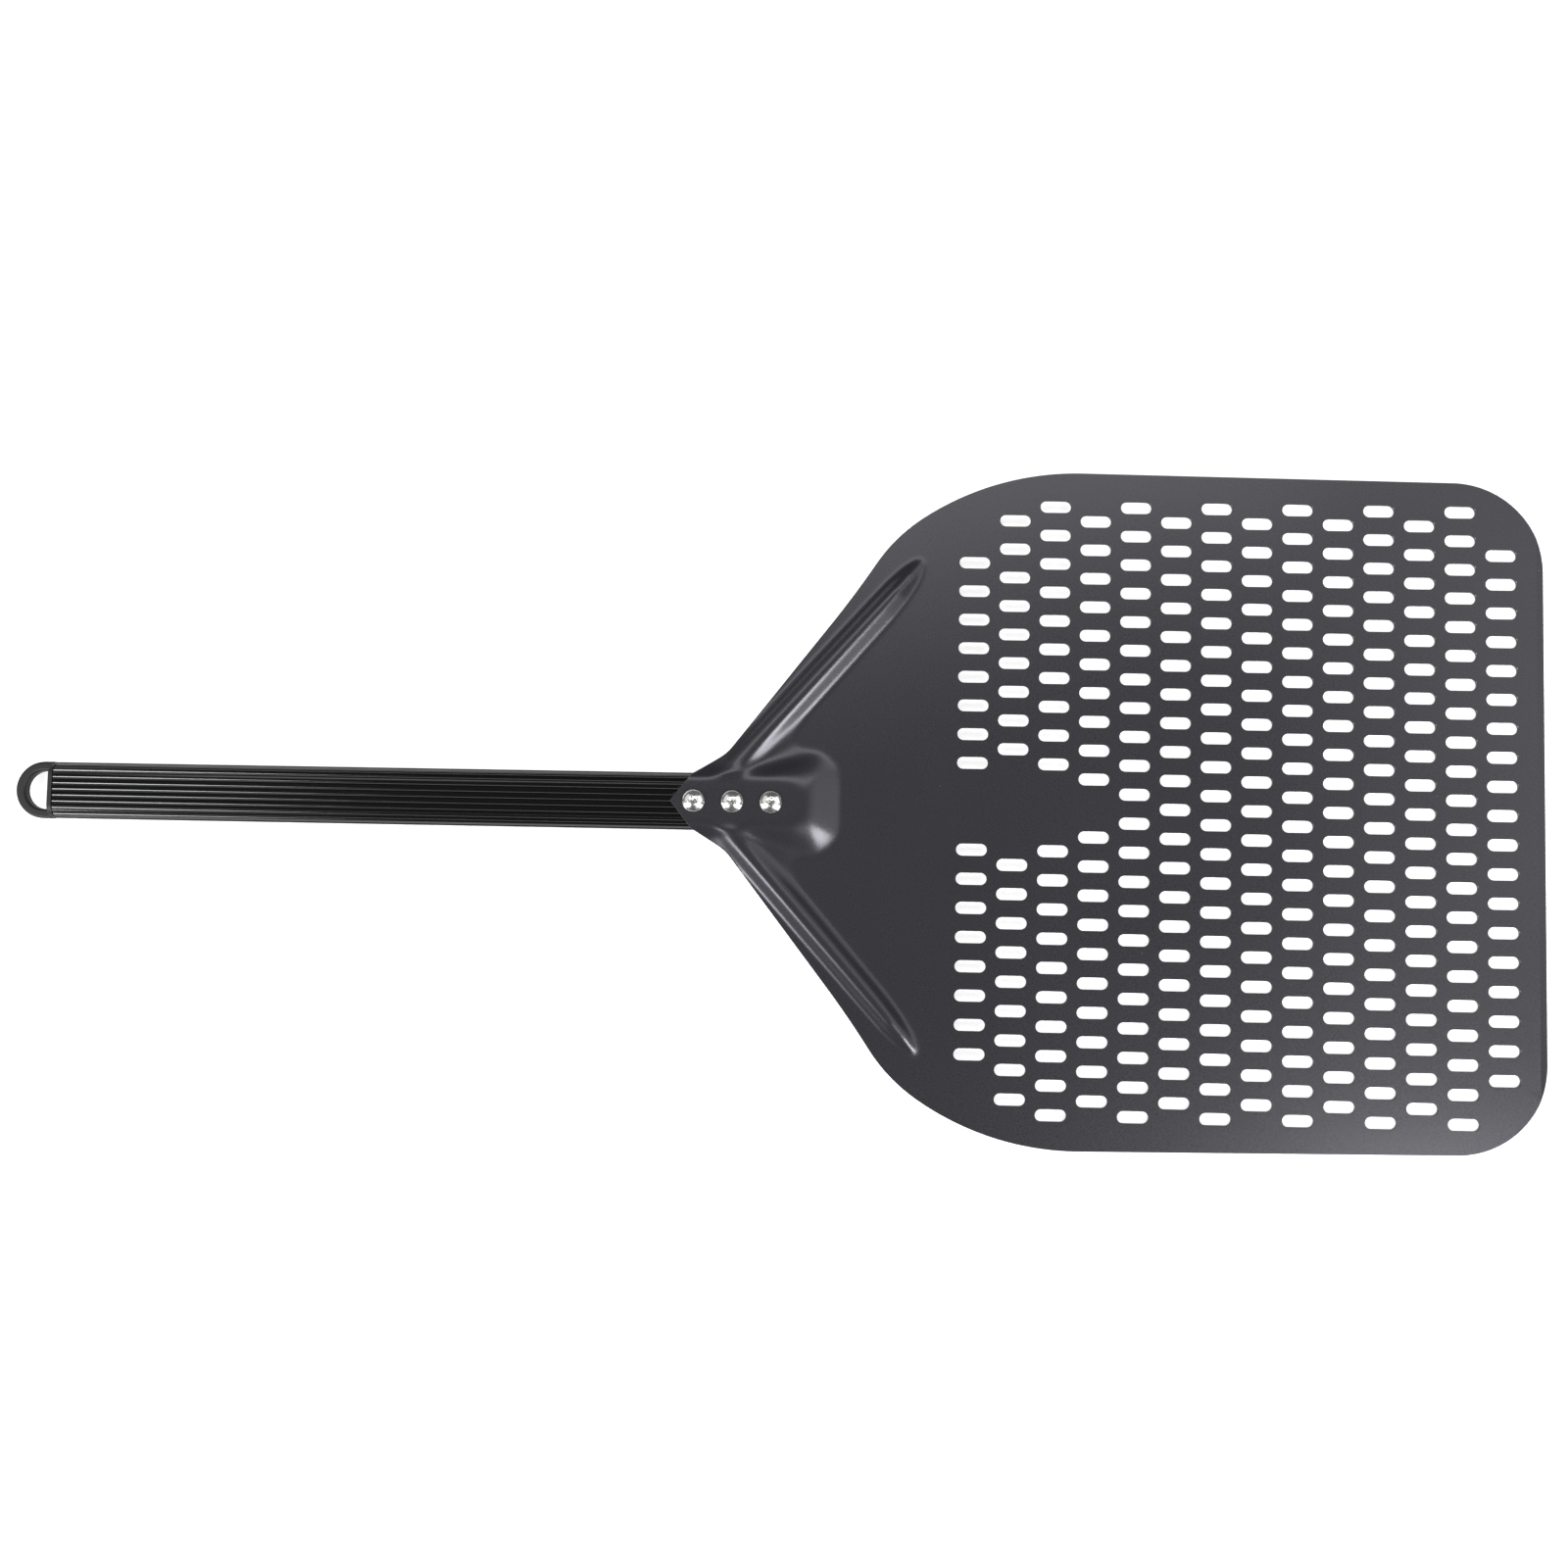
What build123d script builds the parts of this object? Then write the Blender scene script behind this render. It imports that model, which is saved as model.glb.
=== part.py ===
"""Perforated pizza peel: a pressed aluminium blade screwed to an oval fluted tube handle.

World frame, millimetres: +X runs from the hanging loop to the front edge and +Z is up. The peel
lies as on a table, with the tube's underside and the blade's front edge on z = 0, and the origin
is the middle of the footprint.
"""
from build123d import *
from math import asin, cos, pi, radians, sin
import os

os.makedirs("parts", exist_ok=True)

# All the lengths along the peel are measured back from the blade's front edge.

# ---------------------------------------------------------------- handle tube
tube_width = 30.6
tube_height = 15.0              # flat oval: two straight faces and two half-round sides
tube_wall = 1.9
tube_front = 392.5
tube_rear = 788.0
tube_axis_z = tube_height / 2
flute_count = 24
flute_radius = 1.45
flute_depth = 0.5

# ---------------------------------------------------------------- end cap and front plug
cap_collar = 0.6                # recessed ring between the tube's end and the cap's flange
cap_collar_inset = 0.9
cap_flange = 3.2
cap_flange_inset = 0.3
cap_flange_round = 0.8
loop_straight = 4.0
loop_radius = 15.3
loop_band = 5.1
loop_height = 6.4
loop_round = 1.4
plug_depth = 22.0
plug_slack = 0.1                # between a plug and the tube's bore
plug_wall = 1.8
front_plug_depth = 5.2
front_plug_face = 1.6

overall_length = tube_rear + cap_flange + loop_straight + loop_radius
front_x = overall_length / 2    # x of the blade's front edge

# ---------------------------------------------------------------- blade
sheet = 2.0
blade_length = 456.3            # tang tip to front edge
blade_tilt = 1.25               # degrees down towards the front edge
rib_height = 5.0
bevel_width = 4.0
bevel_edge = 0.9                # thickness that the bevel's slope reaches just past the front edge

# Positions on the blade are (forwards, sideways) from the middle of the front edge.
tang_corner = (-444.7, 14.6)    # where the arrow-shaped tang end meets its sides
neck_corner = (-427.0, 25.6)    # where the neck starts to widen
neck_fillet = 22.0
flank_angle = 52.3              # of the straight rear flank, from the centre line
flank_length = 88.1
flare_radius = 525.0            # slight outward flare at the end of the flank
flare_angle = 4.33
hip_radius = 90.0
hip_angle = 22.84
shoulder_radius = 147.2
side_taper = 0.743              # degrees that each long side closes towards the front
front_corner_radius = 47.5

# ---------------------------------------------------------------- slots
column_count = 14
column_pitch = 21.2
row_pitch = 15.19
slot_length = 16.2
slot_width = 6.3
slot_centre = -160.0            # middle of the slot field, from the front edge

# ---------------------------------------------------------------- pressed hood and ribs
# Each half of the hood is a loft from a foot line on the sheet up to a crest line.
hood_foot = [
    (-466, 19.0),
    (-425, 19.3),
    (-409, 22.5),
    (-392, 27.0),
    (-377, 26.5),
    (-368.5, 19.0),
    (-366.5, 0),
]
hood_crest = [
    (-466, 11.6),
    (-425, 11.6),
    (-407, 11.4),
    (-398, 10.8),
    (-391.5, 9.0),
    (-388.7, 5.5),
    (-388, 0),
]
hood_crest_fillet = 3.0
skirt = 1.0                     # how far each form also reaches down into the sheet
form_reach = 16.0               # more than the height of any form, for trimming it to the outline
cut_margin = 1.0                # how far the bevel's cutter stands past the sheet

rib_centre = (-380.0, 66.5)
rib_angle = 48.5                # from the blade's centre line
# each side of a rib, as shares of its foot-to-crest width and of its height
rib_side = [(0, 0), (0.3, 0.2), (0.75, 0.72), (1, 0.97)]
# distance along the rib from rib_centre, then outer foot, outer crest, inner crest and inner foot
# across it, and the rise as a share of rib_height
rib_stations = [
    (-84, 8.3, 2.2, -2.2, -9.6, 1.0),
    (0, 7.8, 2.0, -2.0, -8.9, 1.0),
    (50, 7.1, 1.9, -1.8, -8.1, 1.0),
    (62, 6.9, 1.8, -1.5, -6.9, 0.97),
    (73, 5.9, 1.9, -1.0, -5.3, 0.62),
    (80, 4.3, 1.8, 0.0, -2.6, 0.24),
    (83.2, 2.6, 1.4, 0.6, -0.6, 0.05),
]

# ---------------------------------------------------------------- screws and threaded inserts
screw_names = ["rear", "middle", "front"]
screw_middle = 423.2            # from the blade's front edge
screw_pitch = 20.3
thread_diameter = 5.0
screw_clearance_diameter = 5.5
head_diameter = 11.8
head_height = 3.3
head_lip = 0.7
thread_chamfer = 0.6
screw_length = 10.0
recess_width = 5.2
recess_slot = 1.1
recess_depth = 2.2
recess_turns = [18, 40, 75]     # degrees, as each screw happens to be left
insert_diameter = 7.0
insert_flange_diameter = 9.4
insert_flange = 0.8
insert_length = 10.5
insert_bulge_diameter = 9.6
insert_bulge = 3.0
insert_bulge_round = 0.8
insert_bore_depth = 9.8
fit_slack = 0.05                # radial, between parts that fit into each other

# ---------------------------------------------------------------- planes
tilt = radians(blade_tilt)
blade_plane = Plane((front_x, 0, 0), x_dir=(cos(tilt), 0, -sin(tilt)), z_dir=(sin(tilt), 0, cos(tilt)))
foot_plane = blade_plane.offset(sheet)
hood_plane = Plane((front_x, 0, tube_height + sheet))
tube_rear_plane = Plane((front_x - tube_rear, 0, tube_axis_z), x_dir=(0, 1, 0), z_dir=(1, 0, 0))
tube_top_plane = Plane((front_x, 0, tube_height))
tube_front_plane = Plane((front_x - tube_front, 0, tube_axis_z), x_dir=(0, 1, 0), z_dir=(1, 0, 0))
rib_plane = Plane(foot_plane.location * Location((*rib_centre, 0), (0, 0, rib_angle)))
screw_places = [(-screw_middle + step * screw_pitch, 0) for step in (-1, 0, 1)]


def slot_rows(column):
    """Rows of one column of slots, as offsets from the centre line in row pitches."""
    if column % 2 == 0:
        rows = [row - 10.5 for row in range(22)]
    else:
        rows = [row - 10 for row in range(21)]
    inner = {0: 1.5, 1: 2, 2: 1.5, 3: 1}.get(column, 0)
    outer = {0: 8.5, 13: 9}.get(column, 10.5)
    return [row for row in rows if inner <= abs(row) <= outer]


def hood_outline(plane, points):
    """Closed outline of the hood through its left-hand points, mirrored."""
    with BuildSketch(plane) as sketch:
        with BuildLine():
            Spline(*points, tangents=[(1, 0), (0, -1)])
            Line((points[0][0], 0), points[0])
            mirror(about=Plane.XZ)
        make_face()
    return sketch.sketch


def rib_section(along, outer_foot, outer_crest, inner_crest, inner_foot, rise):
    """Cross-section of one rib: rounded crest, sloping sides, eased feet."""
    height = rise * rib_height
    origin = rib_plane.from_local_coords((along, 0, 0))
    section_plane = Plane(origin, x_dir=rib_plane.y_dir, z_dir=rib_plane.x_dir)
    outer = [(outer_foot + share * (outer_crest - outer_foot), up * height) for share, up in rib_side]
    inner = [(inner_foot + share * (inner_crest - inner_foot), up * height) for share, up in rib_side]
    points = outer + [((outer_crest + inner_crest) / 2, height)] + inner[::-1]
    with BuildSketch(section_plane) as sketch:
        with BuildLine():
            Spline(*points)
            Polyline(points[-1], (inner_foot, -skirt), (outer_foot, -skirt), points[0])
        make_face()
    return sketch.sketch


def finish(piece, name):
    """Label a finished piece and write it."""
    piece.part.label = name
    export_step(piece.part, f"parts/{name}.step")


# ================================================================ blade
with BuildSketch(blade_plane) as outline:
    with BuildLine():
        Polyline((-blade_length, 0), tang_corner, neck_corner)
        flank = PolarLine(neck_corner, flank_length, angle=flank_angle)
        flare = JernArc(flank @ 1, flank % 1, flare_radius, flare_angle)
        hip = JernArc(flare @ 1, flare % 1, hip_radius, -hip_angle)
        shoulder_turn = flank_angle + flare_angle - hip_angle + side_taper
        shoulder = JernArc(hip @ 1, hip % 1, shoulder_radius, -shoulder_turn)
        side_end = -front_corner_radius * (1 - sin(radians(side_taper)))
        side_length = (side_end - (shoulder @ 1).X) / cos(radians(side_taper))
        side = PolarLine(shoulder @ 1, side_length, angle=-side_taper)
        corner = JernArc(side @ 1, side % 1, front_corner_radius, side_taper - 90)
        Line(corner @ 1, (0, 0))
        mirror(about=Plane.XZ)
    make_face()
    fillet(outline.vertices().sort_by(Axis.X)[3:5], neck_fillet)

with BuildPart() as hood_form:
    add(hood_outline(foot_plane, hood_foot))
    extrude(amount=-skirt)
    loft([hood_outline(foot_plane, hood_foot), hood_outline(hood_plane, hood_crest)], ruled=True)
    crest_face = hood_form.faces().sort_by(Axis.Z)[-1]
    fillet(crest_face.edges().filter_by(GeomType.LINE, reverse=True), hood_crest_fillet)

with BuildPart() as rib_form:
    loft([rib_section(*station) for station in rib_stations], ruled=True)

with BuildPart() as pressing:
    add(hood_form.part)
    add(rib_form.part)
    mirror(rib_form.part, about=Plane.XZ)

with BuildPart() as pressed_inside_outline:
    add(outline.sketch)
    extrude(amount=form_reach)
    add(pressing.part, mode=Mode.INTERSECT)

with BuildPart() as blade:
    add(outline.sketch)
    extrude(amount=sheet)
    add(pressed_inside_outline.part)
    add(pressing.part.moved(Location(blade_plane.z_dir * -sheet)), mode=Mode.SUBTRACT)
    with BuildSketch(blade_plane):
        for column in range(column_count):
            forwards = slot_centre + (column - (column_count - 1) / 2) * column_pitch
            with Locations(*[(forwards, row * row_pitch) for row in slot_rows(column)]):
                SlotOverall(slot_length, slot_width)
    extrude(amount=sheet, mode=Mode.SUBTRACT)
    # bevel along the front edge, which runs out round the corners
    with BuildSketch(Plane(blade_plane.origin, x_dir=blade_plane.x_dir, z_dir=(0, -1, 0))):
        with BuildLine():
            Polyline(
                (-bevel_width, sheet),
                (cut_margin, bevel_edge),
                (cut_margin, sheet + cut_margin),
                (-bevel_width, sheet + cut_margin),
                close=True,
            )
        make_face()
    extrude(amount=shoulder_radius * 2, both=True, mode=Mode.SUBTRACT)
    with BuildSketch(hood_plane):
        with Locations(*screw_places):
            Circle(screw_clearance_diameter / 2)
    extrude(amount=-2 * sheet, mode=Mode.SUBTRACT)
finish(blade, "blade")

# ================================================================ handle tube
bore_width = tube_width - 2 * tube_wall
bore_height = tube_height - 2 * tube_wall
side_radius = tube_height / 2
face_half_width = tube_width / 2 - side_radius
flute_pitch = (4 * face_half_width + 2 * pi * side_radius) / flute_count


def flute_centre(distance):
    """Centre of a flute at a distance round the tube's outline from the middle of its top face."""
    lift = flute_radius - flute_depth
    round_length = pi * side_radius
    if distance <= face_half_width:
        return (distance, side_radius + lift)
    if distance < face_half_width + round_length:
        turn = (distance - face_half_width) / side_radius
        reach = side_radius + lift
        return (face_half_width + reach * sin(turn), reach * cos(turn))
    return (2 * face_half_width + round_length - distance, -side_radius - lift)


with BuildPart() as handle_tube:
    with BuildSketch(tube_rear_plane):
        SlotOverall(tube_width, tube_height)
        for index in range(flute_count // 2 + 1):
            sideways, height = flute_centre(index * flute_pitch)
            with Locations((sideways, height), (-sideways, height)):
                Circle(flute_radius, mode=Mode.SUBTRACT)
        SlotOverall(bore_width, bore_height, mode=Mode.SUBTRACT)
    extrude(amount=tube_rear - tube_front)
    # spot-faced holes for the threaded inserts, through the top wall only
    with BuildSketch(tube_top_plane):
        with Locations(*screw_places):
            Circle(insert_flange_diameter / 2 + fit_slack)
    extrude(amount=-insert_flange, mode=Mode.SUBTRACT)
    with BuildSketch(tube_top_plane):
        with Locations(*screw_places):
            Circle(insert_diameter / 2 + fit_slack)
    extrude(amount=-2 * tube_wall, mode=Mode.SUBTRACT)
finish(handle_tube, "handle_tube")

# ================================================================ end cap with its hanging loop
loop_end = loop_straight + cap_flange_round
with BuildPart() as hanging_loop:
    with BuildSketch(Plane((front_x - overall_length + loop_radius, 0, tube_axis_z - loop_height / 2))):
        for radius, mode in ((loop_radius, Mode.ADD), (loop_radius - loop_band, Mode.SUBTRACT)):
            with BuildLine():
                bow = CenterArc((0, 0), radius, 90, 180)
                Polyline(bow @ 0, (loop_end, radius), (loop_end, -radius), bow @ 1)
            make_face(mode=mode)
    extrude(amount=loop_height)
    long_edges = hanging_loop.edges().filter_by(Axis.Z, reverse=True).filter_by(Axis.Y, reverse=True)
    fillet(long_edges, loop_round)

with BuildPart() as end_cap:
    with BuildSketch(tube_rear_plane.offset(-cap_flange)):
        SlotOverall(tube_width - 2 * cap_flange_inset, tube_height - 2 * cap_flange_inset)
    extrude(amount=cap_flange - cap_collar)
    fillet(end_cap.faces().sort_by(Axis.X)[0].edges(), cap_flange_round)
    with BuildSketch(tube_rear_plane.offset(-cap_collar)):
        SlotOverall(tube_width - 2 * cap_collar_inset, tube_height - 2 * cap_collar_inset)
    extrude(amount=cap_collar)
    with BuildSketch(tube_rear_plane):
        SlotOverall(bore_width - 2 * plug_slack, bore_height - 2 * plug_slack)
        offset(amount=-plug_wall, mode=Mode.SUBTRACT)
    extrude(amount=plug_depth)
    add(hanging_loop.part)
finish(end_cap, "end_cap")

# ================================================================ front plug
with BuildPart() as front_plug:
    with BuildSketch(tube_front_plane):
        SlotOverall(bore_width - 2 * plug_slack, bore_height - 2 * plug_slack)
    extrude(amount=-front_plug_depth)
    with BuildSketch(tube_front_plane.offset(-front_plug_face)):
        SlotOverall(bore_width - 2 * plug_slack, bore_height - 2 * plug_slack)
        offset(amount=-plug_wall, mode=Mode.INTERSECT)
    extrude(amount=-front_plug_depth, mode=Mode.SUBTRACT)
finish(front_plug, "front_plug")

# ================================================================ screws and threaded inserts
head_radius = head_diameter / 2
dome_rise = head_height - head_lip
dome_radius = (head_radius ** 2 + dome_rise ** 2) / (2 * dome_rise)
dome_half_turn = asin(head_radius / dome_radius) / 2
dome_middle = (dome_radius * sin(dome_half_turn), head_height - dome_radius * (1 - cos(dome_half_turn)))

for name, place, turn in zip(screw_names, screw_places, recess_turns):
    screw_plane = Plane((front_x + place[0], 0, tube_height + sheet)).rotated((0, 0, turn))
    with BuildPart() as screw:
        with BuildSketch(Plane(screw_plane.origin, x_dir=(1, 0, 0), z_dir=(0, -1, 0))):
            with BuildLine():
                Polyline((0, head_height), (0, 0), (head_radius, 0), (head_radius, head_lip))
                ThreePointArc((head_radius, head_lip), dome_middle, (0, head_height))
            make_face()
        revolve(axis=Axis(screw_plane.origin, (0, 0, 1)))
        with BuildSketch(screw_plane):
            Circle(thread_diameter / 2 - fit_slack)
        extrude(amount=-screw_length)
        chamfer(screw.edges().sort_by(Axis.Z)[0], thread_chamfer)
        with BuildSketch(screw_plane.offset(head_height)):
            Rectangle(recess_width, recess_slot)
            Rectangle(recess_slot, recess_width)
        extrude(amount=-recess_depth, mode=Mode.SUBTRACT)
    finish(screw, f"screw_{name}")

    insert_plane = Plane((front_x + place[0], 0, tube_height))
    with BuildPart() as insert:
        with BuildSketch(insert_plane):
            Circle(insert_flange_diameter / 2)
        extrude(amount=-insert_flange)
        with BuildSketch(insert_plane):
            Circle(insert_diameter / 2)
        extrude(amount=-insert_length)
        with BuildSketch(insert_plane.offset(-tube_wall)):
            Circle(insert_bulge_diameter / 2)
        extrude(amount=-insert_bulge)
        fillet(insert.edges().filter_by(Plane.XY).group_by(SortBy.LENGTH)[-1], insert_bulge_round)
        with BuildSketch(insert_plane):
            Circle(thread_diameter / 2)
        extrude(amount=-insert_bore_depth, mode=Mode.SUBTRACT)
    finish(insert, f"insert_{name}")
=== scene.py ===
"""Looks of the perforated pizza peel: pressed blade, screws, finishes, floor, light and camera."""

from math import atan2, cos, degrees, hypot, pi, radians, sin, sqrt, tan

import bpy
import numpy as np
from mathutils import Matrix, Vector
from mathutils.geometry import delaunay_2d_cdt


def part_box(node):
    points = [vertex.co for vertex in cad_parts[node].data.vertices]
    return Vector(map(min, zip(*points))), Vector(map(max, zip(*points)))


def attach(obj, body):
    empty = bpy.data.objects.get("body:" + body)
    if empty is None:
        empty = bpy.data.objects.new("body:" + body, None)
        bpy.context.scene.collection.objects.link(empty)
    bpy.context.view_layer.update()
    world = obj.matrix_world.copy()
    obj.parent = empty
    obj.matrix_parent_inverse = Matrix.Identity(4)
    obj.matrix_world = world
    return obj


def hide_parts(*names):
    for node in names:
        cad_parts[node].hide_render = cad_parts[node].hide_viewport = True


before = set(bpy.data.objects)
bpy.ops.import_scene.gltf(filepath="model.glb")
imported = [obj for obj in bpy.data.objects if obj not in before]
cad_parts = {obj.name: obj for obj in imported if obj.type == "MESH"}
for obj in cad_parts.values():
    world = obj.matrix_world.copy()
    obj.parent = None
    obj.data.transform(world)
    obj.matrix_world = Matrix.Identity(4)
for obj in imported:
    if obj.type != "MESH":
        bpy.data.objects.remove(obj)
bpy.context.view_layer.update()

MM = 0.001

# ---------------------------------------------------------------- dimensions, mm, as in the CAD
# Places on the blade are (forwards, sideways): forwards from its front edge, so negative, and sideways
# from its centre line.
sheet = 2.0
tube_front = 392.5              # from the tube's front end to the blade's front edge
blade_length = 456.3
blade_tilt = 1.25
rib_height = 5.0
bevel_width = 4.0
bevel_slope = 0.22
tang_corner = (-444.7, 14.6)
neck_corner = (-427.0, 25.6)
neck_fillet = 22.0
flank_angle = 52.3
flank_length = 88.1
flare_radius, flare_angle = 525.0, 4.33
hip_radius, hip_angle = 90.0, 22.84
shoulder_radius = 147.2
side_taper = 0.743
front_corner_radius = 47.5

column_count = 14
column_pitch = 21.2
row_pitch = 15.19
most_rows = 22                  # of slots in a column; every other column has one fewer
gap_beside_hood = {0: 1.5, 1: 2, 2: 1.5, 3: 1}      # by column, first row kept each side of the centre
short_columns = {0: 8.5, 13: 9}                     # by column, last row kept each side
slot_length = 16.2
slot_width = 6.3
slot_centre = -160.0            # middle of the columns

form_start = -500.0             # behind the blade's tip, so that the hood runs on to the end of the tang
hood_foot = [
    (-466, 19.0), (-425, 19.3), (-409, 22.5), (-392, 27.0), (-377, 26.5), (-368.5, 19.0), (-366.5, 0),
]
hood_crest = [
    (-466, 11.6), (-425, 11.6), (-407, 11.4), (-398, 10.8), (-391.5, 9.0), (-388.7, 5.5), (-388, 0),
]
rib_centre = (-380.0, 66.5)
rib_angle = 48.5
# place along the rib; its outer foot, outer crest, inner crest and inner foot across; share of its height
rib_stations = np.array([
    (-84, 8.3, 2.2, -2.2, -9.6, 1.0),
    (0, 7.8, 2.0, -2.0, -8.9, 1.0),
    (50, 7.1, 1.9, -1.8, -8.1, 1.0),
    (62, 6.9, 1.8, -1.5, -6.9, 0.97),
    (73, 5.9, 1.9, -1.0, -5.3, 0.62),
    (80, 4.3, 1.8, 0.0, -2.6, 0.24),
    (83.2, 2.6, 1.4, 0.6, -0.6, 0.05),
])

screw_turns = {"screw_rear": 18, "screw_middle": 40, "screw_front": 75}     # degrees, of each recess
screw_clearance_diameter = 5.5
thread_diameter = 4.9
thread_chamfer = 0.6
head_diameter = 11.8
head_height = 3.3
head_lip = 0.7
lip_break = (0.16, 0.18)        # inwards and up
screw_length = 10.0
recess_depth = 2.1
wing_reach = 2.75               # from the middle to the end of each wing of the cross
wing_end = 1.0
wing_half_width = 0.42
wing_flare = 0.16               # how much each wing widens towards the middle
wing_wall = 0.3

# places taken from the frame
tube_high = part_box("handle_tube")[1]
front_x = tube_high[0] / MM + tube_front
hood_z = tube_high[2] / MM + sheet
tilt = radians(blade_tilt)


# ---------------------------------------------------------------- mesh helpers
def new_object(name, vertices, faces, sharp_angle):
    """Mesh object from vertices in metres, smooth but for edges sharper than an angle in degrees."""
    mesh = bpy.data.meshes.new(name)
    mesh.from_pydata([tuple(v) for v in vertices], [], faces)
    mesh.validate()
    mesh.shade_smooth()
    mesh.set_sharp_from_angle(angle=radians(sharp_angle))
    obj = bpy.data.objects.new(name, mesh)
    bpy.context.scene.collection.objects.link(obj)
    return obj


def blade_to_world(u, v, w):
    """Blade coordinates in mm (forwards, sideways, up from the underside) to world metres."""
    x = front_x + u * cos(tilt) + w * sin(tilt)
    z = -u * sin(tilt) + w * cos(tilt)
    return np.stack([x, v, z], axis=-1) * MM


def rib_coordinates(u, v):
    """Places along and across the rib on the +Y side."""
    turn = radians(rib_angle)
    along = (u - rib_centre[0]) * cos(turn) + (v - rib_centre[1]) * sin(turn)
    across = -(u - rib_centre[0]) * sin(turn) + (v - rib_centre[1]) * cos(turn)
    return along, across


def smooth_line(points, first, last, steps=14):
    """Points of a smooth curve through given points with given end directions."""
    p = np.array(points, float)
    span = np.linalg.norm(np.diff(p, axis=0), axis=1)
    slope = np.diff(p, axis=0) / span[:, None]
    tangent = np.zeros_like(p)
    tangent[0], tangent[-1] = first, last
    weight = span[:-1] / (span[:-1] + span[1:])
    tangent[1:-1] = slope[:-1] * (1 - weight)[:, None] + slope[1:] * weight[:, None]
    out = []
    for index, length in enumerate(span):
        t = np.linspace(0, 1, steps, endpoint=False)[:, None]
        out.append((2 * t**3 - 3 * t**2 + 1) * p[index] + (t**3 - 2 * t**2 + t) * length * tangent[index]
                   + (3 * t**2 - 2 * t**3) * p[index + 1] + (t**3 - t**2) * length * tangent[index + 1])
    return np.vstack(out + [p[-1:]])


def distance_to(line, x, y):
    """Distance of each point from a polyline."""
    best = np.full(x.shape, np.inf)
    for (ax, ay), (bx, by) in zip(line[:-1], line[1:]):
        dx, dy = bx - ax, by - ay
        share = np.clip(((x - ax) * dx + (y - ay) * dy) / (dx * dx + dy * dy), 0, 1)
        best = np.minimum(best, np.hypot(x - ax - share * dx, y - ay - share * dy))
    return best


def inside_loop(loop, x, y):
    """Whether points lie inside a closed loop."""
    inside = np.zeros(x.shape, bool)
    for (ax, ay), (bx, by) in zip(loop, np.roll(loop, -1, axis=0)):
        if ay == by:
            continue
        crosses = (ay > y) != (by > y)
        inside ^= crosses & (x < (bx - ax) * (y - ay) / (by - ay) + ax)
    return inside


def inset(loop, distance):
    """Offset of a closed anticlockwise loop to its left, with mitred corners."""
    before = loop - np.roll(loop, 1, axis=0)
    after = np.roll(loop, -1, axis=0) - loop
    before /= np.linalg.norm(before, axis=1)[:, None]
    after /= np.linalg.norm(after, axis=1)[:, None]
    normal = np.stack([-before[:, 1] - after[:, 1], before[:, 0] + after[:, 0]], axis=1)
    length = np.linalg.norm(normal, axis=1)[:, None]
    return loop + normal / length * distance * (2 / length)


def smoothstep(value):
    """Share that leaves 0 and reaches 1 gently."""
    value = np.clip(value, 0, 1)
    return value * value * (3 - 2 * value)


# ---------------------------------------------------------------- blade outline and slots
outline_step = 1.5
slot_steps = 10                 # to each half circle
hole_steps = 14


def walk(start, heading, moves):
    """Points along lines and tangent arcs: each move is (length,) or (radius, turn in degrees)."""
    points = [start]
    x, y = start
    heading = radians(heading)
    for move in moves:
        if len(move) == 1:
            count = max(1, round(move[0] / outline_step))
            for index in range(1, count + 1):
                reach = move[0] * index / count
                points.append((x + reach * cos(heading), y + reach * sin(heading)))
        else:
            radius, turn = move[0], radians(move[1])
            side = 1 if turn > 0 else -1
            centre_x = x - side * radius * sin(heading)
            centre_y = y + side * radius * cos(heading)
            count = max(4, round(abs(turn) * radius / outline_step))
            for index in range(1, count + 1):
                angle = heading + turn * index / count
                points.append((centre_x + side * radius * sin(angle), centre_y - side * radius * cos(angle)))
            heading += turn
        x, y = points[-1]
    return points


def blade_outline():
    """Closed outline of the blade, anticlockwise from the middle of the front edge."""
    tip = (-blade_length, 0.0)
    tip_heading = degrees(atan2(tang_corner[1] - tip[1], tang_corner[0] - tip[0]))
    tip_length = hypot(tang_corner[0] - tip[0], tang_corner[1] - tip[1])
    tang_heading = degrees(atan2(neck_corner[1] - tang_corner[1], neck_corner[0] - tang_corner[0]))
    tang_length = hypot(neck_corner[0] - tang_corner[0], neck_corner[1] - tang_corner[1])
    neck_turn = flank_angle - tang_heading
    neck_tangent = neck_fillet * tan(radians(neck_turn / 2))
    shoulder_turn = flank_angle + flare_angle - hip_angle + side_taper
    tip_side = walk(tip, tip_heading, [(tip_length,)])
    rear = walk(tip_side[-1], tang_heading, [
        (tang_length - neck_tangent,),
        (neck_fillet, neck_turn),
        (flank_length - neck_tangent,),
        (flare_radius, flare_angle),
        (hip_radius, -hip_angle),
        (shoulder_radius, -shoulder_turn),
    ])
    side_end = -front_corner_radius * (1 - sin(radians(side_taper)))
    side_length = (side_end - rear[-1][0]) / cos(radians(side_taper))
    front = walk(rear[-1], -side_taper, [(side_length,), (front_corner_radius, side_taper - 90)])
    edge = walk(front[-1], -90, [(front[-1][1],)])
    half = tip_side + rear[1:] + front[1:] + edge[1:]
    left = half[::-1]
    right = [(x, -y) for x, y in half[1:-1]]
    return np.array(left + right)


def slot_centres():
    """Centre of every slot, column by column from the hood to the front edge."""
    centres = []
    for column in range(column_count):
        forwards = slot_centre + (column - (column_count - 1) / 2) * column_pitch
        count = most_rows - column % 2
        first = gap_beside_hood.get(column, 0)
        last = short_columns.get(column, most_rows)
        rows = [row - (count - 1) / 2 for row in range(count)]
        centres += [(forwards, row * row_pitch) for row in rows if first <= abs(row) <= last]
    return centres


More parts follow.
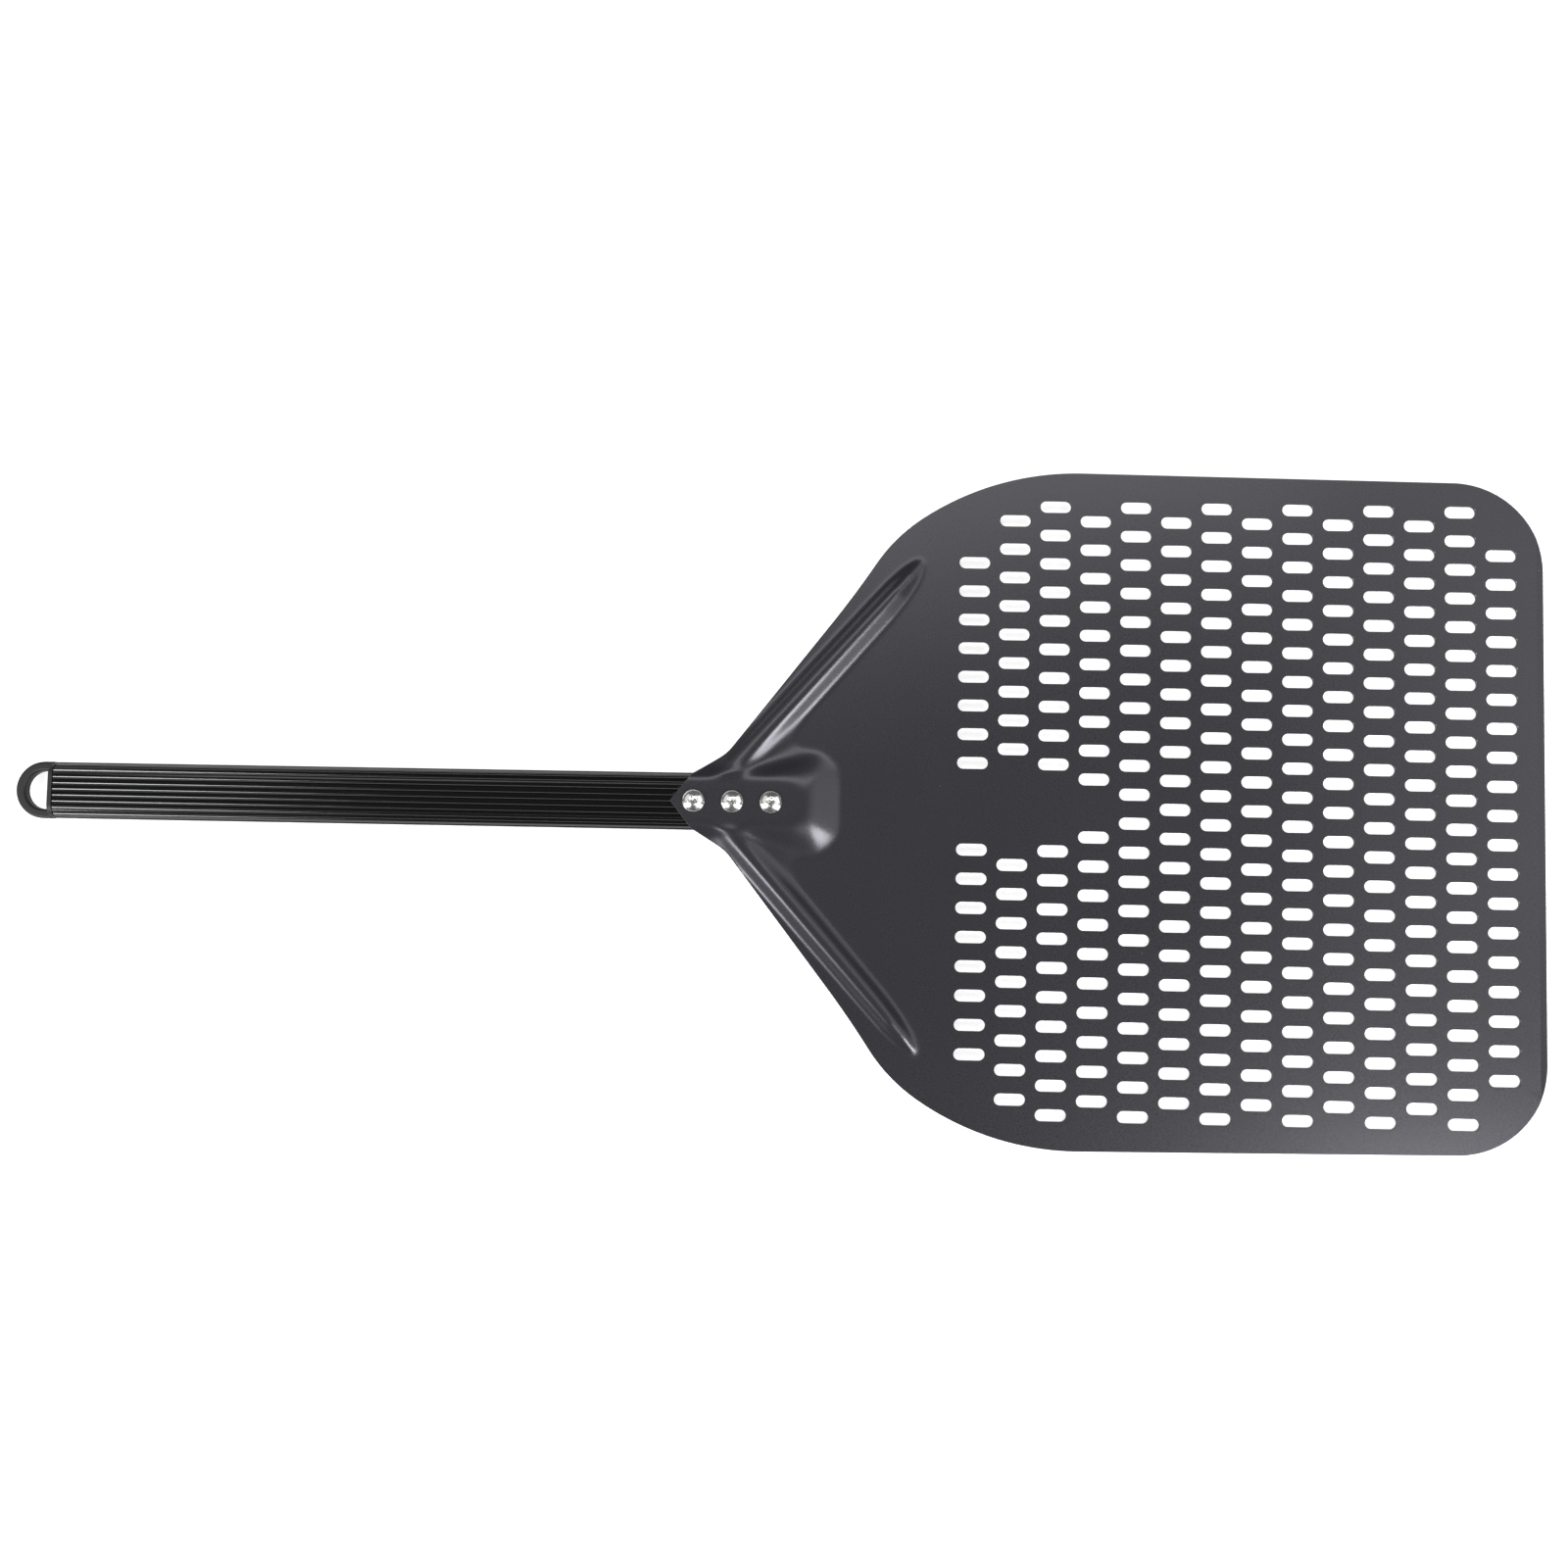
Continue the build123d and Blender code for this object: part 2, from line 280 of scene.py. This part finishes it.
def screw_places():
    """Centre of each screw's hole in the blade."""
    places = []
    for node in screw_turns:
        low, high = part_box(node)
        places.append(((low[0] + high[0]) / 2 / MM - front_x, 0.0))
    return places


def slot_loop(centre, half_straight, radius, steps):
    """Clockwise loop round a slot, or round a hole where half_straight is 0."""
    loop = []
    for side, start in ((1, 90), (-1, 270)):
        for index in range(steps + 1):
            if half_straight == 0 and index == steps:
                continue
            angle = radians(start - 180 * index / steps)
            forwards = centre[0] + side * half_straight + radius * cos(angle)
            loop.append((forwards, centre[1] + radius * sin(angle)))
    return np.array(loop)


# ---------------------------------------------------------------- pressed height of the sheet
grid_step = 0.25
grid_low = (-472.0, -10.0)
grid_high = (-312.0, 142.0)
blur_sigma = 1.35               # of the blur that rounds the bends
least_height = 2e-3             # under which the sheet counts as flat
hood_ease = 0.5                 # share of the hood's slope rounded at both ends, the rest only at its top
rib_ease = 0.45                 # share of a rib's slopes rounded at both ends, the rest straight
valley_ease = 8.5               # difference in height within which the hood and a rib run together
rib_start = (-90.0, -64.0)      # along a rib, where it grows out of the hood's side
outward_fall = 0.35             # how fast the hood's slope is taken to go on falling past its foot
rib_fall = 0.7                  # the same for a rib, as a share of its slope


def hood_height(u, side):
    """Height of the hood, negative past its foot, and how far up its slope each point lies."""
    foot = smooth_line(hood_foot, (1, 0), (0, -1))
    crest = smooth_line(hood_crest, (1, 0), (0, -1))
    foot = np.vstack([[(form_start, foot[0][1])], foot])
    crest = np.vstack([[(form_start, crest[0][1])], crest])
    inside_foot = side < np.interp(u, foot[:, 0], foot[:, 1], right=-1)
    inside_crest = side < np.interp(u, crest[:, 0], crest[:, 1], right=-1)
    to_foot = distance_to(foot, u, side)
    to_crest = distance_to(crest, u, side)
    share = np.where(inside_crest, 1, np.where(inside_foot, to_foot / (to_foot + to_crest), 0))
    eased = hood_ease * smoothstep(share) + (1 - hood_ease) * np.sin(share * pi / 2)
    hood = eased * ((hood_z + u * sin(tilt)) / cos(tilt) - sheet)
    return np.where(inside_foot, hood, -outward_fall * to_foot), share


def rib_height_at(u, v):
    """Height of one rib, negative past its feet and its end."""
    along, across = rib_coordinates(u, v)
    stations = rib_stations[:, 0]
    outer_foot, outer_crest, inner_crest, inner_foot, rise = (
        np.interp(along, stations, column) for column in rib_stations[:, 1:].T)
    past_end = (along > stations[-1]) | (along < stations[0])
    outer = (outer_foot - across) / (outer_foot - outer_crest)
    inner = (across - inner_foot) / (inner_crest - inner_foot)
    slope = np.minimum(np.minimum(outer, inner), 1)
    profile = np.where(slope > 0, (1 - rib_ease) * slope + rib_ease * smoothstep(slope), rib_fall * slope)
    rise = rise * smoothstep((along - rib_start[0]) / (rib_start[1] - rib_start[0]))
    return np.where(past_end, -1, profile * rise * rib_height)


def blurred(height):
    """Height grid with its bends rounded by a Gaussian blur."""
    reach = int(round(3 * blur_sigma / grid_step))
    taps = np.exp(-0.5 * (np.arange(-reach, reach + 1) * grid_step / blur_sigma) ** 2)
    taps /= taps.sum()
    for axis in (0, 1):
        margins = [(reach, reach) if a == axis else (0, 0) for a in (0, 1)]
        padded = np.pad(height, margins, mode="edge")
        count = height.shape[axis]
        height = sum(tap * np.take(padded, np.arange(k, k + count), axis=axis) for k, tap in enumerate(taps))
    return height


def pressed_height():
    """Height grid of the hood and one rib above the flat sheet."""
    us = np.arange(grid_low[0], grid_high[0], grid_step)
    vs = np.arange(grid_low[1], grid_high[1], grid_step)
    u, v = np.meshgrid(us, vs, indexing="ij")
    hood, share = hood_height(u, np.abs(v))
    rib = rib_height_at(u, v)
    # the two forms run into each other round an eased pocket, which leaves the hood's flat top alone
    meeting = np.maximum(1 - np.abs(hood - rib) / valley_ease, 0) ** 2 * valley_ease / 4
    height = np.maximum(hood, rib) + meeting * smoothstep(2 - 2 * share)
    height = blurred(np.maximum(height, 0))
    height[height < least_height] = 0
    return height


heights = pressed_height()


def height_at(u, v):
    """Height of the pressing at points of the blade, symmetrical about its centre line."""
    x = (np.asarray(u) - grid_low[0]) / grid_step
    y = (np.abs(v) - grid_low[1]) / grid_step
    inside = (x >= 0) & (y >= 0) & (x < heights.shape[0] - 1) & (y < heights.shape[1] - 1)
    i = np.clip(x.astype(int), 0, heights.shape[0] - 2)
    j = np.clip(y.astype(int), 0, heights.shape[1] - 2)
    fx, fy = x - i, y - j
    value = (heights[i, j] * (1 - fx) * (1 - fy) + heights[i + 1, j] * fx * (1 - fy)
             + heights[i, j + 1] * (1 - fx) * fy + heights[i + 1, j + 1] * fx * fy)
    return np.where(inside, value, 0)


def top(u, v):
    """Height of the sheet's upper face; height_at is that of its underside."""
    bevel = np.maximum(u + bevel_width, 0) * bevel_slope
    return height_at(u, v) + sheet - bevel


# ---------------------------------------------------------------- blade mesh
edge_break = 0.22               # width of the small bevel round every edge
box_clearance = 0.03            # keeps the outline inside the CAD's box
form_step = 0.6                 # between points on the pressed forms
form_margin = 1.2               # how far those points go on past the forms
rib_straight = 60.0             # half the length of a rib that is meshed in rows along it
rib_half_width = 12.0
rib_row_step = (1.5, 0.4)       # along and across
row_margin = (0.6, 0.3)         # kept free round the rows, along and across
outline_margin = 0.4            # kept free inside the outline
hole_margin = 0.3               # kept free round each screw's hole
bevel_half = 150.0              # half the straight line along the bevel's top
bevel_line_points = 101
sliver = 1e-4                   # mm2, twice the area of the thin triangles left outside straight edges
merge_distance = 1e-5           # within which points are taken as one
line_tolerance = 1e-4           # within which a point is on the bevel's top line
middle_tolerance = 0.03         # a triangle's middle may lie this far inside a round edge
blade_sharp_angle = 32


def form_points(outline_inner, places):
    """Points on the pressed forms: an even grid, but rows along the straight of each rib."""
    row_step = form_step * sqrt(3) / 2
    rows = int((grid_high[0] - grid_low[0]) / row_step)
    columns = int(2 * grid_high[1] / form_step)
    i, j = np.meshgrid(np.arange(rows), np.arange(columns), indexing="ij")
    u = (grid_low[0] + i * row_step).ravel()
    v = (-grid_high[1] + (j + 0.5 * (i % 2)) * form_step).ravel()
    along, across = rib_coordinates(u, np.abs(v))
    on_rib = np.abs(along) < rib_straight + row_margin[0]
    on_rib &= (across > -rib_half_width - row_margin[1]) & (across < rib_half_width + row_margin[1])
    u, v = u[~on_rib], v[~on_rib]

    turn = radians(rib_angle)
    step_along, step_across = rib_row_step
    along = np.arange(-rib_straight, rib_straight + step_along / 2, step_along)
    across = np.arange(-rib_half_width, rib_half_width + step_across / 2, step_across)
    along, across = np.meshgrid(along, across, indexing="ij")
    rib_u = (rib_centre[0] + along * cos(turn) - across * sin(turn)).ravel()
    rib_v = (rib_centre[1] + along * sin(turn) + across * cos(turn)).ravel()
    u = np.concatenate([u, rib_u, rib_u])
    v = np.concatenate([v, rib_v, -rib_v])

    near = np.zeros(u.shape, bool)
    for du, dv in ((0, 0), (form_margin, 0), (-form_margin, 0), (0, form_margin), (0, -form_margin)):
        near |= height_at(u + du, v + dv) > 0
    u, v = u[near], v[near]
    keep = inside_loop(outline_inner, u, v)
    u, v = u[keep], v[keep]
    closed = np.vstack([outline_inner, outline_inner[:1]])
    keep = distance_to(closed, u, v) > outline_margin
    for place in places:
        from_hole = np.hypot(u - place[0], v - place[1])
        keep &= from_hole > screw_clearance_diameter / 2 + edge_break + hole_margin
    return np.stack([u[keep], v[keep]], axis=1)


def bevel_line(outline_inner):
    """Points along the top of the bevel."""
    v = np.linspace(-bevel_half, bevel_half, bevel_line_points)
    u = np.full(v.shape, -bevel_width)
    keep = inside_loop(outline_inner, u, v)
    return np.stack([u[keep], v[keep]], axis=1)


def between_loops(middle, outline_inner, centres, places):
    """Whether the middles of triangles lie on the sheet, not in a slot or a hole."""
    keep = inside_loop(outline_inner, middle[:, 0], middle[:, 1])
    half_straight = (slot_length - slot_width) / 2
    for centre in centres:
        reach = np.maximum(np.abs(middle[:, 0] - centre[0]) - half_straight, 0)
        keep &= (np.hypot(reach, middle[:, 1] - centre[1])
                 > slot_width / 2 + edge_break - middle_tolerance)
    for place in places:
        keep &= (np.hypot(middle[:, 0] - place[0], middle[:, 1] - place[1])
                 > screw_clearance_diameter / 2 + edge_break - middle_tolerance)
    return keep


def build_blade():
    """The pressed sheet: its two faces, and walls with broken edges round the outline and each hole."""
    outline = inset(blade_outline(), box_clearance)
    outline_inner = inset(outline, edge_break)
    centres = slot_centres()
    places = screw_places()
    rounds = [(centre, (slot_length - slot_width) / 2, slot_width / 2, slot_steps) for centre in centres]
    rounds += [(place, 0, screw_clearance_diameter / 2, hole_steps) for place in places]
    walls = [outline]
    loops = [outline_inner]
    for centre, half_straight, radius, steps in rounds:
        walls.append(slot_loop(centre, half_straight, radius, steps))
        loops.append(slot_loop(centre, half_straight, radius + edge_break, steps))

    points, edges = [], []
    for loop in loops:
        start = len(points)
        points += loop.tolist()
        edges += [(start + k, start + (k + 1) % len(loop)) for k in range(len(loop))]
    start = len(points)
    line = bevel_line(outline_inner)
    points += line.tolist()
    edges += [(start + k, start + k + 1) for k in range(len(line) - 1)]
    points += form_points(outline_inner, places).tolist()

    flat, _, faces, origin, _, _ = delaunay_2d_cdt([Vector(p) for p in points], edges, [], 0, merge_distance)
    flat = np.array([tuple(p) for p in flat])
    faces = np.array([tuple(f) for f in faces])
    faces = faces[between_loops(flat[faces].mean(axis=1), outline_inner, centres, places)]
    winding = np.cross(flat[faces[:, 1]] - flat[faces[:, 0]], flat[faces[:, 2]] - flat[faces[:, 0]])
    faces[winding < 0] = faces[winding < 0][:, ::-1]
    faces = faces[np.abs(winding) > sliver]
    place_of = {source: index for index, sources in enumerate(origin) for source in sources}

    count = len(flat)
    u, v = flat[:, 0], flat[:, 1]
    vertices = [blade_to_world(u, v, top(u, v)), blade_to_world(u, v, height_at(u, v))]
    polygons = faces.tolist() + (faces[:, ::-1] + count).tolist()
    upper = 2 * count
    start = 0
    for loop, wall in zip(loops, walls):
        size = len(wall)
        ring = [place_of[start + k] for k in range(size)]
        start += size
        lower = upper + size
        u, v = wall[:, 0], wall[:, 1]
        vertices.append(blade_to_world(u, v, top(u, v) - edge_break))
        vertices.append(blade_to_world(u, v, height_at(u, v) + edge_break))
        for k in range(size):
            n = (k + 1) % size
            polygons.append((upper + k, upper + n, ring[n], ring[k]))
            polygons.append((lower + k, lower + n, upper + n, upper + k))
            polygons.append((ring[k] + count, ring[n] + count, lower + n, lower + k))
        upper = lower + size
    obj = new_object("blade_pressing", np.vstack(vertices), polygons, blade_sharp_angle)

    # the bevel's top edge is crisp
    mesh = obj.data
    sharp = mesh.attributes.get("sharp_edge") or mesh.attributes.new("sharp_edge", "BOOLEAN", "EDGE")
    on_line = np.zeros(len(mesh.vertices), bool)
    on_line[:count] = np.abs(flat[:, 0] + bevel_width) < line_tolerance
    for edge in mesh.edges:
        a, b = edge.vertices
        if on_line[a] and on_line[b]:
            sharp.data[edge.index].value = True
    return obj


# ---------------------------------------------------------------- screws
screw_sides = 120
recess_rings = (0.07, 2.8, 40)  # first radius, last radius and number
dome_start = 3.0
dome_rings = 11
screw_sharp_angle = 55


def recess(x, y):
    """Depth of the pressed cross below the dome."""
    deepest = np.zeros_like(x)
    for along, across in ((np.abs(x), np.abs(y)), (np.abs(y), np.abs(x))):
        ends = smoothstep((wing_reach - along) / wing_end)
        half_width = wing_half_width + wing_flare * (wing_reach - along)
        walls = smoothstep((half_width - across) / wing_wall)
        deepest = np.maximum(deepest, ends * walls)
    return recess_depth * deepest


def build_screw(name, node, turn):
    """Truss-head screw with a pressed cross recess, in the place of the CAD's screw."""
    low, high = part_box(node)
    seat = np.array([(low[0] + high[0]) / 2, (low[1] + high[1]) / 2, high[2] - head_height * MM])
    radius = head_diameter / 2
    rise = head_height - head_lip
    dome_radius = (radius**2 + rise**2) / (2 * rise)
    angles = np.arange(screw_sides) * 2 * pi / screw_sides

    # rings from the middle of the recess over the dome, then down the lip and the thread
    ring_radii = np.concatenate([np.linspace(*recess_rings), np.linspace(dome_start, radius, dome_rings)])
    r, a = np.meshgrid(ring_radii, angles, indexing="ij")
    x, y = r * np.cos(a), r * np.sin(a)
    z = head_height - dome_radius + np.sqrt(dome_radius**2 - r**2) - recess(x, y)
    rings = [np.stack([x[k], y[k], z[k]], axis=-1) for k in range(len(ring_radii))]
    thread_radius = thread_diameter / 2
    profile = [
        (radius, lip_break[1]),
        (radius - lip_break[0], 0.0),
        (thread_radius, 0.0),
        (thread_radius, thread_chamfer - screw_length),
        (thread_radius - thread_chamfer, -screw_length),
    ]
    for distance, height in profile:
        rings.append(np.stack([distance * np.cos(angles), distance * np.sin(angles),
                               np.full(screw_sides, height)], axis=-1))
    top_point = np.array([[0, 0, head_height - recess(np.zeros(1), np.zeros(1))[0]]])
    bottom_point = np.array([[0, 0, -screw_length]])
    local = np.vstack(rings + [top_point, bottom_point])

    spin = radians(turn)
    turned = local.copy()
    turned[:, 0] = local[:, 0] * cos(spin) - local[:, 1] * sin(spin)
    turned[:, 1] = local[:, 0] * sin(spin) + local[:, 1] * cos(spin)
    faces = []
    last = (len(rings) - 1) * screw_sides
    top_index = last + screw_sides
    for k in range(screw_sides):
        n = (k + 1) % screw_sides
        faces.append((top_index, k, n))
        for inner in range(0, last, screw_sides):
            outer = inner + screw_sides
            faces.append((inner + k, outer + k, outer + n, inner + n))
        faces.append((top_index + 1, last + n, last + k))
    return new_object(name, turned * MM + seat, faces, screw_sharp_angle)


# ---------------------------------------------------------------- materials
def colour(red, green, blue):
    """Opaque colour."""
    return (red, green, blue, 1.0)


class Shader:
    """A small helper that wires a Principled material in object coordinates."""

    def __init__(self, name, **inputs):
        self.material = bpy.data.materials.new(name)
        self.material.use_nodes = True
        self.tree = self.material.node_tree
        self.principled = self.tree.nodes["Principled BSDF"]
        for key, value in inputs.items():
            self.principled.inputs[key.replace("_", " ")].default_value = value
        self.coordinates = self.tree.nodes.new("ShaderNodeTexCoord").outputs["Object"]

    def put(self, value, socket):
        """Link a socket, or set it to a number or colour."""
        if isinstance(value, bpy.types.NodeSocket):
            self.tree.links.new(value, socket)
        else:
            socket.default_value = value

    def node(self, kind, inputs, **settings):
        """New shader node with its inputs and settings."""
        made = self.tree.nodes.new("ShaderNode" + kind)
        for key, value in settings.items():
            setattr(made, key, value)
        for key, value in inputs.items():
            self.put(value, made.inputs[key])
        return made

    def noise(self, scale, detail, roughness, stretch=(1, 1, 1)):
        """Noise pattern, drawn out along an axis where its stretch is small."""
        vector = self.node("Mapping", {"Vector": self.coordinates, "Scale": stretch}).outputs["Vector"]
        return self.node("TexNoise", {
            "Vector": vector, "Scale": scale, "Detail": detail, "Roughness": roughness}).outputs["Fac"]

    def spread(self, value, low, high, start=0.3, end=0.7):
        """Value mapped from start..end to low..high."""
        return self.node("MapRange", {
            "Value": value, "From Min": start, "From Max": end,
            "To Min": low, "To Max": high}).outputs["Result"]

    def blend(self, factor, a, b):
        """Colour from a to b, as factor goes from 0 to 1."""
        return self.node("Mix", {0: factor, 6: a, 7: b}, data_type="RGBA").outputs[2]

    def mottle(self, pattern, dark, light):
        """Base colour that varies between two colours with a pattern."""
        self.link(self.blend(self.spread(pattern, 0, 1), dark, light), "Base Color")

    def link(self, value, name):
        """Link a value to one of the Principled shader's inputs."""
        self.tree.links.new(value, self.principled.inputs[name])

    def bump(self, height, strength, distance):
        """Raise the surface by a pattern."""
        bump = self.node("Bump", {"Height": height, "Strength": strength, "Distance": distance})
        self.link(bump.outputs["Normal"], "Normal")


def anodised_blade():
    """Satin charcoal hard anodising: fine grain, faint cloudiness and a few specks of dust."""
    s = Shader("anodised_blade", Metallic=0.55, IOR=1.5)
    clouds = s.noise(9, 3, 0.5)
    grain = s.noise(2600, 2, 0.6)
    base = s.blend(s.spread(clouds, 0, 1), colour(0.023, 0.022, 0.027), colour(0.027, 0.026, 0.031))
    base = s.blend(s.spread(grain, 0, 0.2), base, colour(0.050, 0.049, 0.057))
    cells = s.node("TexVoronoi", {"Vector": s.coordinates, "Scale": 85.0, "Randomness": 1.0})
    speck = s.spread(cells.outputs["Distance"], 1, 0, 0.010, 0.022)
    chosen = s.spread(cells.outputs["Color"], 0, 1, 0.62, 0.63)
    dust = s.node("Math", {0: speck, 1: chosen}, operation="MULTIPLY").outputs[0]
    s.link(s.blend(dust, base, colour(0.22, 0.22, 0.23)), "Base Color")
    s.link(s.spread(grain, 0.26, 0.30), "Roughness")
    s.bump(grain, 0.05, 0.00002)
    return s.material


def black_tube():
    """Black anodised extrusion with faint draw lines along it."""
    s = Shader("black_tube", Metallic=0.3, IOR=1.5)
    lines = s.noise(900, 2, 0.5, stretch=(0.02, 1, 1))
    grain = s.noise(2200, 2, 0.6)
    s.mottle(grain, colour(0.0015, 0.0015, 0.0018), colour(0.003, 0.003, 0.0034))
    s.link(s.spread(lines, 0.12, 0.17), "Roughness")
    s.bump(lines, 0.05, 0.00002)
    return s.material


def cap_plastic():
    """Matte moulded charcoal plastic."""
    s = Shader("cap_plastic", IOR=1.45, Specular_IOR_Level=0.35)
    grain = s.noise(1800, 3, 0.6)
    patches = s.noise(60, 2, 0.5)
    s.mottle(patches, colour(0.0035, 0.0035, 0.0038), colour(0.005, 0.005, 0.0054))
    s.link(s.spread(grain, 0.48, 0.60), "Roughness")
    s.bump(grain, 0.25, 0.00005)
    return s.material


def screw_steel():
    """Bright stainless steel, lightly rubbed."""
    s = Shader("screw_steel", Metallic=1.0)
    rub = s.noise(700, 3, 0.6)
    s.mottle(rub, colour(0.62, 0.62, 0.61), colour(0.74, 0.74, 0.73))
    s.link(s.spread(rub, 0.16, 0.27), "Roughness")
    s.bump(rub, 0.08, 0.00004)
    return s.material


def insert_steel():
    """Zinc-plated steel."""
    s = Shader("insert_steel", Metallic=1.0)
    patches = s.noise(500, 3, 0.6)
    s.mottle(patches, colour(0.45, 0.45, 0.44), colour(0.58, 0.58, 0.56))
    s.link(s.spread(patches, 0.3, 0.42), "Roughness")
    return s.material


finishes = (anodised_blade, black_tube, cap_plastic, screw_steel, insert_steel)
materials = {finish.__name__: finish() for finish in finishes}

carried_over = {
    "handle_tube": "black_tube",
    "end_cap": "cap_plastic",
    "front_plug": "cap_plastic",
    "insert_rear": "insert_steel",
    "insert_middle": "insert_steel",
    "insert_front": "insert_steel",
}
for node, finish in carried_over.items():
    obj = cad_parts[node]
    if not obj.material_slots:
        obj.data.materials.append(materials[finish])
    for material_slot in obj.material_slots:
        material_slot.material = materials[finish]

# ---------------------------------------------------------------- pieces
blade = build_blade()
blade.data.materials.append(materials["anodised_blade"])
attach(blade, "root")
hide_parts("blade")

for node, turn in screw_turns.items():
    screw = build_screw(node.replace("screw", "truss_screw"), node, turn)
    screw.data.materials.append(materials["screw_steel"])
    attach(screw, "root")
    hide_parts(node)

# ---------------------------------------------------------------- floor
floor_half = 8.0
floor_z = -0.0002
floor_grey = 0.55
floor_glow = 0.8                # keeps the floor a plain white


def build_floor():
    """Plain pale floor just under the object."""
    signs = [(-1, -1), (1, -1), (1, 1), (-1, 1)]
    corners = [(x * floor_half, y * floor_half, floor_z) for x, y in signs]
    floor = new_object("floor", corners, [(0, 1, 2, 3)], sharp_angle=30)
    material = bpy.data.materials.new("studio_floor")
    material.use_nodes = True
    inputs = material.node_tree.nodes["Principled BSDF"].inputs
    inputs["Base Color"].default_value = colour(floor_grey, floor_grey, floor_grey)
    inputs["Roughness"].default_value = 0.9
    inputs["Specular IOR Level"].default_value = 0.0
    inputs["Emission Color"].default_value = colour(1, 1, 1)
    inputs["Emission Strength"].default_value = floor_glow
    floor.data.materials.append(material)
    return floor


build_floor()


# ---------------------------------------------------------------- light
def softbox(name, clock, elevation, distance, width, height, power):
    """Area light at a clock position seen from above, 12 being +Y and 3 being +X, aimed at the origin."""
    light = bpy.data.lights.new(name, "AREA")
    light.shape = "RECTANGLE"
    light.size, light.size_y = width, height
    light.energy = power
    bearing = radians(90 - clock * 30)
    rise = radians(elevation)
    place = Vector((cos(bearing) * cos(rise), sin(bearing) * cos(rise), sin(rise))) * distance
    obj = bpy.data.objects.new(name, light)
    obj.location = place
    obj.rotation_euler = (-place).to_track_quat("-Z", "Y").to_euler()
    bpy.context.scene.collection.objects.link(obj)


softbox("key_right", 4.4, 41, 1.8, 0.6, 0.75, 42)
softbox("key_left", 7.9, 40, 1.8, 0.55, 0.7, 34)
softbox("low_right", 4.2, 14, 1.8, 0.9, 0.45, 4.2)
softbox("low_left", 8.1, 14, 1.8, 0.8, 0.45, 4.2)
softbox("side_left", 9.8, 34, 1.8, 1.6, 0.9, 4.2)
softbox("side_right", 2.4, 38, 1.8, 1.6, 1.0, 8)
softbox("overhead_back", 11.7, 67, 2.0, 2.4, 0.6, 18)
softbox("overhead_front", 2.9, 56, 2.0, 0.9, 0.5, 1.3)

surround_light = 0.12
surround_seen = 0.93


def build_world():
    """Surroundings that look pale to the camera but light the object only dimly."""
    world = bpy.data.worlds.new("studio")
    world.use_nodes = True
    nodes = world.node_tree.nodes
    links = world.node_tree.links
    dim = nodes["Background"]
    dim.inputs["Color"].default_value = colour(1, 1, 1)
    dim.inputs["Strength"].default_value = surround_light
    pale = nodes.new("ShaderNodeBackground")
    pale.inputs["Color"].default_value = colour(surround_seen, surround_seen, surround_seen)
    both = nodes.new("ShaderNodeMixShader")
    links.new(nodes.new("ShaderNodeLightPath").outputs["Is Camera Ray"], both.inputs[0])
    links.new(dim.outputs[0], both.inputs[1])
    links.new(pale.outputs[0], both.inputs[2])
    links.new(both.outputs[0], nodes["World Output"].inputs["Surface"])
    bpy.context.scene.world = world


build_world()
bpy.context.scene.view_settings.view_transform = "Standard"

# ---------------------------------------------------------------- camera
camera_place = Vector((0.0431, -0.0345, 0.7821))
camera_right = Vector((0.99877, 0.02472, -0.04305))
camera_back = Vector((0.04437, -0.05583, 0.99745)).normalized()
camera_roll = radians(0.3)
camera_rise = 0.0012            # along the camera's own up
camera_lens = 33.75
camera_sensor = 36.0


def build_camera():
    """Camera nearly straight above the object, rolled a little."""
    level_up = camera_back.cross(camera_right).normalized()
    level_right = level_up.cross(camera_back)
    right = level_right * cos(camera_roll) - level_up * sin(camera_roll)
    up = level_up * cos(camera_roll) + level_right * sin(camera_roll)
    data = bpy.data.cameras.new("camera")
    data.lens = camera_lens
    data.sensor_width = camera_sensor
    camera = bpy.data.objects.new("camera", data)
    turn = Matrix((right, up, camera_back)).transposed()
    camera.matrix_world = Matrix.Translation(camera_place + up * camera_rise) @ turn.to_4x4()
    bpy.context.scene.collection.objects.link(camera)
    bpy.context.scene.camera = camera


build_camera()
